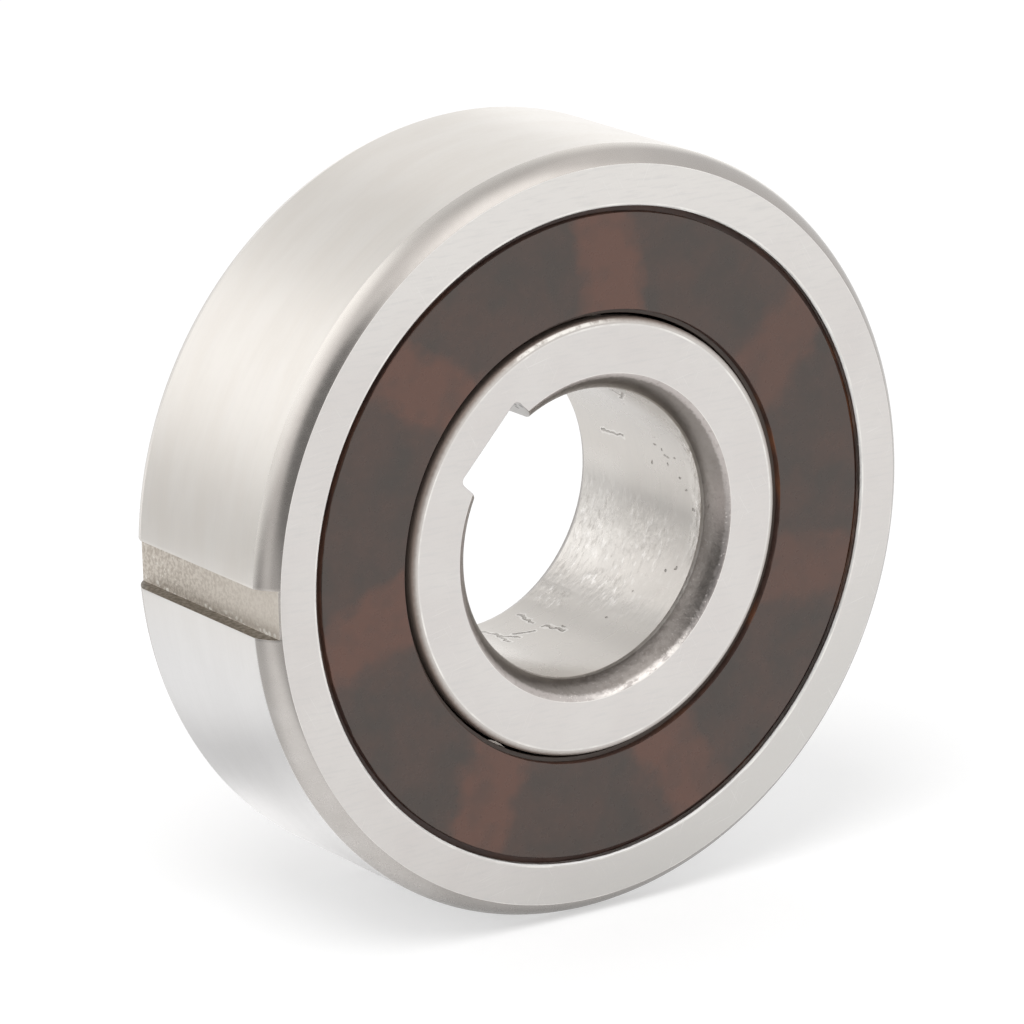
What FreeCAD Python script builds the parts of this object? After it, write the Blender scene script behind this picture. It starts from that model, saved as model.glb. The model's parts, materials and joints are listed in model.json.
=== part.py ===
import FreeCAD, Part
import math
import os

# One-way clutch bearing: two keyed rings, balls and sprags taking turns round one cage,
# a small spring behind each sprag, and a plastic shield on each side.
# The axis is Y, the front faces minus Y, and the origin is the centre of the bearing.
# Angles are seen from the front, from plus X towards plus Z, in degrees. Lengths are mm.

# Envelope of the bearing
BORE_D = 12.0
OUTER_D = 32.0
WIDTH = 10.0

# Corners of the rings. The chamfers' faces are slightly crowned.
OUTER_CORNER_RADIAL = 0.67
OUTER_CORNER_AXIAL = 0.95
BORE_CHAMFER_RADIAL = 0.8
BORE_CHAMFER_AXIAL = 1.0
CHAMFER_CROWN = 0.1
SHOULDER_ROUNDING = 0.25
RECESS_CHAMFER = 0.06

# Keyways, cut through the whole width of each ring
INNER_KEY_WIDTH = 4.0
INNER_KEY_DEPTH = 1.3
INNER_KEY_FILLET = 0.25
INNER_KEY_ANGLE = 137.5
OUTER_KEY_WIDTH = 2.0
OUTER_KEY_DEPTH = 0.63
OUTER_KEY_ANGLE = 181.75

# Balls and their grooves
ELEMENT_COUNT = 7
FIRST_SPRAG_ANGLE = 36.2
BALL_D = 4.763
BALL_CLEARANCE = 0.03
GROOVE_DEPTH = 0.5
GROOVE_CONFORMITY = 1.04

# Shields, snapped into a groove in each side of the outer ring
SHIELD_RECESS = 0.07
SHIELD_THICKNESS = 0.6
SHIELD_FLANGE_THICKNESS = 0.3
SHIELD_SNAP_DEPTH = 0.25
SHIELD_SNAP_CLEARANCE = 0.03
SHIELD_RIM_GAP = 0.26
SHIELD_INNER_GAP = 0.3
SHIELD_LIP_GAP = 0.12
SHIELD_EDGE_CHAMFER = 0.03
SHIELD_LEDGE = 0.71

# Cage
CAGE_RACE_GAP = 0.2
CAGE_SHIELD_GAP = 0.25
POCKET_CLEARANCE = 0.12
WEB_THICKNESS = 0.6
WEB_LENGTH = 1.9

# Sprags: a wide foot on the inner ring, a narrower head on the outer ring
SPRAG_HEAD_WIDTH = 1.9
SPRAG_FOOT_WIDTH = 2.5
SPRAG_WAIST_WIDTH = 1.5
SPRAG_LEAN = 0.6
HEAD_CAM_RADIUS = 1.9
FOOT_CAM_RADIUS = 2.0
STRUT_OFFSET = 0.25
SPRAG_RACE_GAP = 0.03
SPRAG_SLOT_GAP = 0.2
SPRAG_WEB_GAP = 0.15

# Leaf springs between the cage and the sprags
SPRING_THICKNESS = 0.12
SPRING_HEIGHT = 0.5
SPRING_START = 0.2
SPRING_LENGTH = 6.0
SPRING_FOOT_LENGTH = 0.7
SPRING_SPRAG_GAP = 0.12
SPRING_SEAT_CLEARANCE = 0.02

# Places that follow from the sizes above
BORE_R = BORE_D / 2
OUTER_R = OUTER_D / 2
HALF_WIDTH = WIDTH / 2
BALL_R = BALL_D / 2
PITCH_R = (BORE_R + OUTER_R) / 2
GROOVE_R = BALL_R * GROOVE_CONFORMITY
INNER_GROOVE_BOTTOM = PITCH_R - BALL_R - BALL_CLEARANCE
OUTER_GROOVE_BOTTOM = PITCH_R + BALL_R + BALL_CLEARANCE
INNER_TRACK_R = INNER_GROOVE_BOTTOM + GROOVE_DEPTH
OUTER_TRACK_R = OUTER_GROOVE_BOTTOM - GROOVE_DEPTH
GROOVE_HALF_ANGLE = math.acos((GROOVE_R - GROOVE_DEPTH) / GROOVE_R)
RECESS_R = OUTER_TRACK_R + SHIELD_LEDGE
SNAP_R = RECESS_R + SHIELD_SNAP_DEPTH
SHIELD_INSIDE = HALF_WIDTH - SHIELD_RECESS - SHIELD_THICKNESS
CAGE_HALF_LENGTH = SHIELD_INSIDE - CAGE_SHIELD_GAP
CAGE_INNER_R = INNER_TRACK_R + CAGE_RACE_GAP
CAGE_OUTER_R = OUTER_TRACK_R - CAGE_RACE_GAP
WEB_INNER_R = CAGE_OUTER_R - WEB_THICKNESS
POCKET_R = BALL_R + POCKET_CLEARANCE
SPRAG_HALF_HEIGHT = (OUTER_TRACK_R - INNER_TRACK_R) / 2 - SPRAG_RACE_GAP
STEP_ANGLE = 360.0 / ELEMENT_COUNT

ORIGIN = FreeCAD.Vector(0, 0, 0)
AXIS = FreeCAD.Vector(0, 1, 0)


def outline(start, steps):
    """Flat face inside a closed path. A step is one point for a line, two for an arc."""
    edges = []
    here = start
    if not steps[-1][-1].isEqual(start, 1e-7):
        steps = steps + [(start,)]
    for step in steps:
        if len(step) == 1:
            edges.append(Part.LineSegment(here, step[0]).toShape())
        else:
            edges.append(Part.Arc(here, step[0], step[1]).toShape())
        here = step[-1]
    return Part.Face(Part.Wire(edges))


def section_point(radius, axial):
    """Point of a ring's half section, on the front side of the bearing."""
    return FreeCAD.Vector(radius, -axial, 0)


def turned(start, steps):
    return outline(start, steps).revolve(ORIGIN, AXIS, 360)


def with_mirror_half(front_half):
    """A whole ring from the half that reaches from the mid plane to the front."""
    back_half = front_half.mirror(ORIGIN, AXIS)
    return front_half.fuse(back_half).removeSplitter()


def at_angle(shape, angle):
    """Copy of a shape that was drawn at the top of the bearing, turned to an angle."""
    copy = shape.copy()
    copy.rotate(ORIGIN, AXIS, 90 - angle)
    return copy


def groove_arc(bottom_radius, side):
    """Half the section of a ball groove, from its bottom to the land beside it."""
    centre = bottom_radius + side * GROOVE_R
    points = []
    for angle in (GROOVE_HALF_ANGLE / 2, GROOVE_HALF_ANGLE):
        radius = centre - side * GROOVE_R * math.cos(angle)
        points.append(section_point(radius, GROOVE_R * math.sin(angle)))
    return tuple(points)


def crowned_chamfer(side_r, radial, axial, outward):
    """From a ring's face to its outside, where outward is 1, or to its bore, where it is -1."""
    slant = math.hypot(radial, axial)
    middle_r = side_r - outward * (radial / 2 - CHAMFER_CROWN * axial / slant)
    middle_axial = HALF_WIDTH - axial / 2 + CHAMFER_CROWN * radial / slant
    return (section_point(middle_r, middle_axial), section_point(side_r, HALF_WIDTH - axial))


def shoulder_arc():
    """Quarter round between the inner ring's track and its face."""
    middle = SHOULDER_ROUNDING * (1 - math.sqrt(0.5))
    end = section_point(INNER_TRACK_R - SHOULDER_ROUNDING, HALF_WIDTH)
    return (section_point(INNER_TRACK_R - middle, HALF_WIDTH - middle), end)


def keyway_cutter(width, low, high, fillet):
    """Bar along the axis, drawn at the top. Its fillets are on the edges away from the axis."""
    corner = FreeCAD.Vector(-width / 2, -WIDTH, low)
    bar = Part.makeBox(width, 2 * WIDTH, high - low, corner)
    if fillet == 0:
        return bar
    floor_edges = []
    for edge in bar.Edges:
        along_axis = abs(edge.tangentAt(edge.FirstParameter).y) > 0.5
        if along_axis and edge.CenterOfMass.z > (low + high) / 2:
            floor_edges.append(edge)
    return bar.makeFillet(fillet, floor_edges)


def outer_ring():
    snap_top = SHIELD_INSIDE + SHIELD_FLANGE_THICKNESS + SHIELD_SNAP_CLEARANCE
    half = turned(section_point(OUTER_GROOVE_BOTTOM, 0), [
        groove_arc(OUTER_GROOVE_BOTTOM, -1),
        (section_point(OUTER_TRACK_R, SHIELD_INSIDE),),
        (section_point(SNAP_R, SHIELD_INSIDE),),
        (section_point(SNAP_R, snap_top),),
        (section_point(RECESS_R, snap_top),),
        (section_point(RECESS_R, HALF_WIDTH - RECESS_CHAMFER),),
        (section_point(RECESS_R + RECESS_CHAMFER, HALF_WIDTH),),
        (section_point(OUTER_R - OUTER_CORNER_RADIAL, HALF_WIDTH),),
        crowned_chamfer(OUTER_R, OUTER_CORNER_RADIAL, OUTER_CORNER_AXIAL, 1),
        (section_point(OUTER_R, 0),),
    ])
    keyway = keyway_cutter(OUTER_KEY_WIDTH, OUTER_R - OUTER_KEY_DEPTH, OUTER_R + OUTER_KEY_DEPTH, 0)
    return with_mirror_half(half).cut(at_angle(keyway, OUTER_KEY_ANGLE))


def inner_ring():
    half = turned(section_point(INNER_GROOVE_BOTTOM, 0), [
        groove_arc(INNER_GROOVE_BOTTOM, 1),
        (section_point(INNER_TRACK_R, HALF_WIDTH - SHOULDER_ROUNDING),),
        shoulder_arc(),
        (section_point(BORE_R + BORE_CHAMFER_RADIAL, HALF_WIDTH),),
        crowned_chamfer(BORE_R, BORE_CHAMFER_RADIAL, BORE_CHAMFER_AXIAL, -1),
        (section_point(BORE_R, 0),),
    ])
    keyway = keyway_cutter(INNER_KEY_WIDTH, 0, BORE_R + INNER_KEY_DEPTH, INNER_KEY_FILLET)
    return with_mirror_half(half).cut(at_angle(keyway, INNER_KEY_ANGLE))


def front_shield():
    """Disc with a snap flange round it, and a thin lip that runs close to the inner ring."""
    lip_r = INNER_TRACK_R + SHIELD_LIP_GAP
    inner_r = INNER_TRACK_R + SHIELD_INNER_GAP
    disc_r = RECESS_R - SHIELD_RIM_GAP
    flange_r = SNAP_R - SHIELD_SNAP_CLEARANCE
    outside = SHIELD_INSIDE + SHIELD_THICKNESS
    flange_top = SHIELD_INSIDE + SHIELD_FLANGE_THICKNESS
    return turned(section_point(lip_r, SHIELD_INSIDE), [
        (section_point(lip_r, flange_top),),
        (section_point(inner_r, flange_top),),
        (section_point(inner_r, outside - SHIELD_EDGE_CHAMFER),),
        (section_point(inner_r + SHIELD_EDGE_CHAMFER, outside),),
        (section_point(disc_r - SHIELD_EDGE_CHAMFER, outside),),
        (section_point(disc_r, outside - SHIELD_EDGE_CHAMFER),),
        (section_point(disc_r, flange_top),),
        (section_point(flange_r, flange_top),),
        (section_point(flange_r, SHIELD_INSIDE),),
    ])


def top_point(across, radial, axial=0.0):
    """Point near the element at the top: across is towards higher angles, radial from the pitch."""
    return FreeCAD.Vector(-across, axial, PITCH_R + radial)


def cam_height(across, cam_radius, contact):
    """Height of a cam, measured from the pitch circle, at a place across the sprag."""
    centre = SPRAG_HALF_HEIGHT - cam_radius
    return centre + math.sqrt(cam_radius ** 2 - (across - contact) ** 2)


def sprag_corners():
    """Left and right corners of the head and foot, as (across, radial) pairs."""
    corners = {}
    for side in (-1, 1):
        head = SPRAG_LEAN / 2 + side * SPRAG_HEAD_WIDTH / 2
        foot = -SPRAG_LEAN / 2 + side * SPRAG_FOOT_WIDTH / 2
        corners["head", side] = (head, cam_height(head, HEAD_CAM_RADIUS, STRUT_OFFSET / 2))
        corners["foot", side] = (foot, -cam_height(foot, FOOT_CAM_RADIUS, -STRUT_OFFSET / 2))
    return corners


def sprag_side(side):
    """Circle of the sprag's hollow flank, from the foot's corner to the head's."""
    corners = sprag_corners()
    foot = FreeCAD.Vector(*corners["foot", side], 0)
    waist = FreeCAD.Vector(side * SPRAG_WAIST_WIDTH / 2, 0, 0)
    head = FreeCAD.Vector(*corners["head", side], 0)
    return Part.Arc(foot, waist, head).toShape().Curve


def web_ring(gap):
    """Ring at mid width that ties the cage's blocks together, grown by a gap for the sprags."""
    half_length = WEB_LENGTH / 2 + gap
    inner_r = WEB_INNER_R - gap
    outer_r = CAGE_OUTER_R + gap
    start = FreeCAD.Vector(0, -half_length, 0)
    tube = Part.makeCylinder(outer_r, 2 * half_length, start, AXIS)
    return tube.cut(Part.makeCylinder(inner_r, 2 * half_length, start, AXIS))


def sprag():
    """Sprag at the top of the bearing, with a notch over the cage's web."""
    corners = sprag_corners()

    def place(across, radial):
        return top_point(across, radial, -CAGE_HALF_LENGTH)

    profile = outline(place(*corners["foot", -1]), [
        (place(-STRUT_OFFSET / 2, -SPRAG_HALF_HEIGHT), place(*corners["foot", 1])),
        (place(SPRAG_WAIST_WIDTH / 2, 0), place(*corners["head", 1])),
        (place(STRUT_OFFSET / 2, SPRAG_HALF_HEIGHT), place(*corners["head", -1])),
        (place(-SPRAG_WAIST_WIDTH / 2, 0), place(*corners["foot", -1])),
    ])
    body = profile.extrude(AXIS * (2 * CAGE_HALF_LENGTH))
    notch_low = WEB_INNER_R - SPRAG_WEB_GAP
    notch_length = WEB_LENGTH + 2 * SPRAG_WEB_GAP
    corner = FreeCAD.Vector(-PITCH_R / 2, -notch_length / 2, notch_low)
    notch = Part.makeBox(PITCH_R, notch_length, OUTER_R - notch_low, corner)
    return body.cut(notch)


def slot_wall(side):
    """Straight wall of a sprag slot: its place across at the pitch circle, and its slope."""
    corners = sprag_corners()
    foot_across, foot_radial = corners["foot", side]
    head_across, head_radial = corners["head", side]
    slope = (head_across - foot_across) / (head_radial - foot_radial)
    return foot_across - slope * foot_radial + side * SPRAG_SLOT_GAP, slope


def sprag_slot():
    """Space in the cage for the sprag at the top, open at both ends."""
    depth = PITCH_R - INNER_TRACK_R
    points = []
    for side, radial in ((-1, -depth), (1, -depth), (1, depth), (-1, depth)):
        across, slope = slot_wall(side)
        points.append(top_point(across + slope * radial, radial, -WIDTH))
    return outline(points[0], [(point,) for point in points[1:]]).extrude(AXIS * (2 * WIDTH))


def spring_bow():
    """How far the strip stands out from the wall to end just short of the sprag's flank."""
    radial = SPRING_START + SPRING_HEIGHT
    wall_across, slope = slot_wall(1)
    flank = sprag_side(1)
    reach = math.sqrt(flank.Radius ** 2 - (radial - flank.Center.y) ** 2)
    flank_across = flank.Center.x - reach
    return wall_across + slope * radial - flank_across - SPRING_SPRAG_GAP


def spring_strip(thickness, bow, lift, extra):
    """Strip along the slot's wall at the top, bowed towards the sprag, with a flat foot each end."""
    wall_across, slope = slot_wall(1)
    norm = math.hypot(1, slope)
    foot_face = -lift
    half = SPRING_LENGTH / 2 + extra
    bend = SPRING_LENGTH / 2 - SPRING_FOOT_LENGTH

    def place(away, axial):
        across = wall_across + slope * (SPRING_START - extra) - (away + foot_face) / norm
        radial = SPRING_START - extra + slope * (away + foot_face) / norm
        return top_point(across, radial, axial)

    steps = [(place(thickness, -half),)]
    if bow > 0:
        steps += [(place(thickness, -bend),), (place(thickness + bow, 0), place(thickness, bend))]
    steps += [(place(thickness, half),), (place(0, half),)]
    if bow > 0:
        steps += [(place(0, bend),), (place(bow, 0), place(0, -bend))]
    up = FreeCAD.Vector(-slope, 0, 1) * ((SPRING_HEIGHT + 2 * extra) / norm)
    return outline(place(0, -half), steps).extrude(up)


def spring():
    return spring_strip(SPRING_THICKNESS, spring_bow(), SPRING_THICKNESS, 0)


def spring_seat():
    """Shallow pocket in the slot's wall that the strip's feet lie in."""
    return spring_strip(2 * SPRING_THICKNESS, 0, SPRING_THICKNESS, SPRING_SEAT_CLEARANCE)


def cage(sprag_angles, ball_angles):
    start = FreeCAD.Vector(0, -CAGE_HALF_LENGTH, 0)
    length = 2 * CAGE_HALF_LENGTH
    blocks = Part.makeCylinder(CAGE_OUTER_R, length, start, AXIS)
    blocks = blocks.cut(Part.makeCylinder(CAGE_INNER_R, length, start, AXIS))
    blocks = blocks.cut([at_angle(sprag_slot(), angle) for angle in sprag_angles])
    blocks = blocks.cut([at_angle(spring_seat(), angle) for angle in sprag_angles])
    joined = blocks.fuse(web_ring(0)).removeSplitter()
    pocket = Part.makeSphere(POCKET_R, top_point(0, 0))
    return joined.cut([at_angle(pocket, angle) for angle in ball_angles])


def save(name, shape):
    solid = shape.Solids[0]
    print(name, "solids", len(shape.Solids), "valid", shape.isValid(), "mm3", round(solid.Volume, 2))
    solid.exportStep("parts/" + name + ".step")


def main():
    os.makedirs("parts", exist_ok=True)
    sprag_angles = [FIRST_SPRAG_ANGLE + STEP_ANGLE * index for index in range(ELEMENT_COUNT)]
    ball_angles = [angle + STEP_ANGLE / 2 for angle in sprag_angles]
    shield = front_shield()
    save("outer_ring", outer_ring())
    save("inner_ring", inner_ring())
    save("front_shield", shield)
    save("back_shield", shield.mirror(ORIGIN, AXIS))
    save("cage", cage(sprag_angles, ball_angles))
    ball = Part.makeSphere(BALL_R, top_point(0, 0))
    one_sprag = sprag()
    one_spring = spring()
    for index in range(ELEMENT_COUNT):
        number = str(index + 1)
        save("ball_" + number, at_angle(ball, ball_angles[index]))
        save("sprag_" + number, at_angle(one_sprag, sprag_angles[index]))
        save("spring_" + number, at_angle(one_spring, sprag_angles[index]))


main()
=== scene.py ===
import json
import math

import bmesh
import bpy
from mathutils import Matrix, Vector


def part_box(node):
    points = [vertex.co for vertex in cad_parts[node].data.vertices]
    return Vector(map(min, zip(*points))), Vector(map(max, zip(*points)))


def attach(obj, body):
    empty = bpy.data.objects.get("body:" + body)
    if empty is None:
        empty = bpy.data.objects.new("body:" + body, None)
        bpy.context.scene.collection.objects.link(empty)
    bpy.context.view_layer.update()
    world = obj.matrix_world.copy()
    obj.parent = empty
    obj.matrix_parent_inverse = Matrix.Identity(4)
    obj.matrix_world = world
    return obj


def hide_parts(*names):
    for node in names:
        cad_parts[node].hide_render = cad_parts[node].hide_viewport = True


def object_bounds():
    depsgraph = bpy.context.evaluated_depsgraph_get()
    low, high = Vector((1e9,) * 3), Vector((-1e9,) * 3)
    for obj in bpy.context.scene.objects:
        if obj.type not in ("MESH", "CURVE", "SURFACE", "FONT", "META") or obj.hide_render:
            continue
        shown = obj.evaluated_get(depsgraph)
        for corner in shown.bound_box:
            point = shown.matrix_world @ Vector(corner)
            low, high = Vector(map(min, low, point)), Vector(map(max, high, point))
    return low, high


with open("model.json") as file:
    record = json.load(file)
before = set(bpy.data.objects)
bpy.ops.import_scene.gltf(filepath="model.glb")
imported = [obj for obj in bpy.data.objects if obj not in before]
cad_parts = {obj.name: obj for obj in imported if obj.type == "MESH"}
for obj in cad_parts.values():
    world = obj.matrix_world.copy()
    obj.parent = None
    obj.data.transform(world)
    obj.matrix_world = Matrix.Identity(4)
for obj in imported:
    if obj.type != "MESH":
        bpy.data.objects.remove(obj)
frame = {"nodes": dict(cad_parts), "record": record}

# A one-way clutch bearing. The frame holds its balls, sprags, springs and cage as they are. Both rings
# and both shields are modelled again here on the same sizes, with finer arcs and broken edges.
# The axis is Y and the front faces minus Y. Angles are seen from the front, from plus X towards plus Z.

MM = 0.001
cad_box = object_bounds()
mounts = {mount["name"]: mount for mount in frame["record"]["mounts"]}

# Sizes that the frame gives
OUTER_R = mounts["housing_seat"]["dims"]["r_mm"] * MM
OUTER_SEAT_HALF = mounts["housing_seat"]["dims"]["length_mm"] * MM / 2
BORE_R = mounts["bore"]["dims"]["r_mm"] * MM
BORE_SEAT_HALF = mounts["bore"]["dims"]["length_mm"] * MM / 2
HALF_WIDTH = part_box("outer_ring")[1].y
INNER_TRACK_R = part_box("inner_ring")[1].z
SHIELD_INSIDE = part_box("back_shield")[0].y
SHIELD_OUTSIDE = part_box("back_shield")[1].y
BALL_R = (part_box("ball_1")[1].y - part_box("ball_1")[0].y) / 2

# Sizes of the rings' sections
OUTER_CORNER_RADIAL = 0.67 * MM
BORE_CHAMFER_RADIAL = 0.8 * MM
CHAMFER_CROWN = 0.1 * MM
SHOULDER_ROUNDING = 0.25 * MM
RECESS_CHAMFER = 0.06 * MM
PITCH_R = (BORE_R + OUTER_R) / 2
OUTER_TRACK_R = 2 * PITCH_R - INNER_TRACK_R
GROOVE_DEPTH = 0.5 * MM
GROOVE_TO_BALL = 1.04
GROOVE_R = BALL_R * GROOVE_TO_BALL
SHIELD_LEDGE = 0.71 * MM
SHIELD_SNAP_DEPTH = 0.25 * MM
SHIELD_SNAP_CLEARANCE = 0.03 * MM
SHIELD_FLANGE_THICKNESS = 0.3 * MM
SHIELD_RIM_GAP = 0.26 * MM
SHIELD_INNER_GAP = 0.3 * MM
SHIELD_LIP_GAP = 0.12 * MM
SHIELD_EDGE_CHAMFER = 0.03 * MM
RECESS_R = OUTER_TRACK_R + SHIELD_LEDGE
SNAP_R = RECESS_R + SHIELD_SNAP_DEPTH

# Keyways
INNER_KEY_ANGLE = math.radians(137.5)
INNER_KEY_HALF_WIDTH = 2.0 * MM
INNER_KEY_FLOOR = BORE_R + 1.3 * MM
INNER_KEY_FILLET = 0.25 * MM
OUTER_KEY_ANGLE = math.radians(181.75)
OUTER_KEY_HALF_WIDTH = 1.0 * MM
OUTER_KEY_FLOOR = OUTER_R - 0.63 * MM

# Fineness of the meshes, and the width of their broken edges
COLUMN_STEP = math.radians(1.5)
BLEND_COLUMNS = 5
KEYWAY_COLUMNS = 12
ARC_STEPS = 10
BROKEN_EDGE = 0.04 * MM
BROKEN_EDGE_SEGMENTS = 2
ROUND_PROFILE = 0.5
SHARP_ANGLE = math.radians(14)
WELD_DISTANCE = 1e-7
LEAST_CUT = 1e-9

# The sprags' ends, painted on the shields as light that shows through them. Their radii are in mm and their
# bounds in degrees past the sprag's own angle. The low bound goes from its first to its second value with the
# radius.
SPRAG_COUNT = 7
FIRST_SPRAG_ANGLE = 36.2
SPRAG_END_RADII = (9.5, 13.5)
SPRAG_END_LOW = (-11.5, -4.0)
SPRAG_END_LOW_SOFT = (-2.4, 2.8)
SPRAG_END_HIGH_SOFT = (4.0, 8.6)
PLASTIC_IOR = 1.5
SHIELD_LIP_COLOUR = (0.09, 0.065, 0.052)

# Marks in the finishes, from one radius to another in mm: painted highlights along edges, the painted shade
# of the inner ring's rounding, and where the bore's chamfer turns from dark to pale as painted reflection.
BORE_EDGE_HIGHLIGHT = (5.95, 6.07)
CHAMFER_LINE = (6.60, 6.70)
SHOULDER_RIM_HIGHLIGHT = (8.74, 8.93)
SHOULDER_SHADE = (8.90, 9.10)
SHOULDER_HIGHLIGHT = (8.88, 9.06)
SHARP_RIM_HIGHLIGHTS = ((6.76, 6.84), (13.62, 13.76), (15.29, 15.36))

# Marks in the finishes, along the axis from mid width in mm. The corner takes over from the outside between
# its start and its end.
# The end lies further out above, and a little more at the upper left, which paints light on the corner there.
# The last two bound a band of painted shade and a painted highlight at the mouth of the recess.
CORNER_START = 4.04
CORNER_END_BELOW = 4.12
CORNER_END_ABOVE = 4.52
CORNER_END_ADDED = 0.13
RECESS_SHADE = (4.85, 4.93)
RECESS_RIM_HIGHLIGHT = (4.93, 4.96)

# Scratches on the ground faces: directions in degrees, length and width in mm, and rarity
SCRATCH_TURNS = (12, 64, 121)
SCRATCH_LENGTH = 2.2
SCRATCH_WIDTH = 0.05
SCRATCH_RARITY = 0.68

# Flaws on the wall of the bore, as places on it: the angle in degrees and the place along the axis
BORE_CRACKS = [
    ((-90.0, 3.2), (-87.0, 2.4)), ((-87.0, 2.4), (-88.6, 1.3)), ((-86.8, 2.1), (-82.5, 1.4)),
    ((-82.5, 1.9), (-75.7, 1.4)), ((-70.2, 3.2), (-71.3, 2.1)), ((-70.6, 1.4), (-68.7, 0.2)),
    ((53.5, -1.9), (45.5, -0.9)), ((49.0, -1.4), (52.0, -0.8)), ((19.1, 2.3), (20.1, 0.9)),
]
BORE_PITS = [
    (21.2, -1.4), (19.4, -1.8), (12.5, -0.8), (9.6, -2.7), (13.6, -2.0), (5.0, -3.1), (-2.0, -3.5),
    (-26.2, -3.2), (-29.2, -2.6), (-55.2, -1.1), (-67.0, 0.5),
]

# How the flaws' outlines wander: the scale of the noise that moves them, and its full width in mm
FLAW_WAVES = 2.2
FLAW_WAVE_MM = 0.45

# Pits on the upper wall of the wide keyway, in mm
SHAFT_KEYWAY_PITS = [(-3.64, -4.35, 6.05), (-3.43, -4.20, 5.86), (-3.66, -4.78, 6.07)]

# Bounds of most values of a noise, and the share of its colour that a grain's dark side keeps
NOISE_LOW = 0.3
NOISE_HIGH = 0.7
GRAIN_DARK_SHARE = 0.82

# Camera at the photograph's viewing angle
CAMERA_AZIMUTH = math.radians(-35.87)
CAMERA_ELEVATION = math.radians(16.355)
CAMERA_DISTANCE = 244.63 * MM
CAMERA_TO_RIGHT = -0.516 * MM
CAMERA_UP = -0.072 * MM
CAMERA_LENS = 210.43
CAMERA_SENSOR = 36.0
CAMERA_CLIP_START = 0.01

# Studio: pale floor and surroundings, seen white by the camera and unevenly lit by reflections
FLOOR_SIZE = 8.0
FLOOR_TONE = 0.8
FLOOR_OWN_LIGHT = 0.45
FLOOR_SHADE_SHARE = 0.62
WORLD_DIFFUSE = 0.68
KEY_LAMP_POWER = 3.2
KEY_LAMP_SIZE = 0.5
KEY_LAMP_PLACE = Vector((-0.35, -0.25, 0.75))

# What polished pieces reflect: a level, and changes to it towards some directions. Each change is a
# direction, an amount, and the cosines from its centre at which it starts and is full.
REFLECTED_LEVEL = 0.95
LOWEST_REFLECTED = 0.22
REFLECTED_CHANGES = [
    ((-0.57, -0.76, 0.32), -0.75, 0.85, 0.95),
    ((-0.60, -0.78, -0.15), -0.36, 0.84, 0.95),
    ((0.26, -0.79, 0.55), 0.25, 0.80, 0.95),
    ((0.0, -0.6, 0.8), 0.15, 0.85, 0.95),
    ((-0.77, 0.36, 0.52), 0.30, 0.70, 0.87),
    ((-0.07, 0.78, 0.62), -0.15, 0.945, 0.99),
    ((-0.85, 0.42, -0.25), -0.38, 0.75, 0.92),
    ((-0.97, -0.15, -0.05), -0.20, 0.88, 0.97),
    ((0.10, 0.30, 0.95), -0.28, 0.85, 0.97),
    ((-0.72, 0.56, -0.41), 0.36, 0.95, 0.99),
    ((-0.33, 0.40, -0.85), 0.42, 0.965, 0.995),
    ((0.63, 0.78, -0.04), 0.30, 0.94, 0.985),
    ((-0.86, 0.34, 0.38), -0.15, 0.96, 0.99),
    ((0.20, -0.57, 0.79), 0.28, 0.92, 0.985),
    ((-0.76, -0.08, -0.64), 0.20, 0.85, 0.95),
    ((0.0, 0.0, -1.0), -0.10, 0.60, 0.90),
]


def make_camera():
    azimuth, elevation = CAMERA_AZIMUTH, CAMERA_ELEVATION
    flat = math.cos(elevation)
    back = Vector((math.sin(azimuth) * flat, -math.cos(azimuth) * flat, math.sin(elevation)))
    right = Vector((math.cos(azimuth), math.sin(azimuth), 0))
    up = back.cross(right)
    data = bpy.data.cameras.new("camera")
    data.lens = CAMERA_LENS
    data.sensor_width = CAMERA_SENSOR
    data.clip_start = CAMERA_CLIP_START
    camera = bpy.data.objects.new("camera", data)
    camera.location = back * CAMERA_DISTANCE + right * CAMERA_TO_RIGHT + up * CAMERA_UP
    camera.rotation_euler = (-back).to_track_quat("-Z", "Y").to_euler()
    bpy.context.scene.collection.objects.link(camera)
    bpy.context.scene.camera = camera


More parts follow.
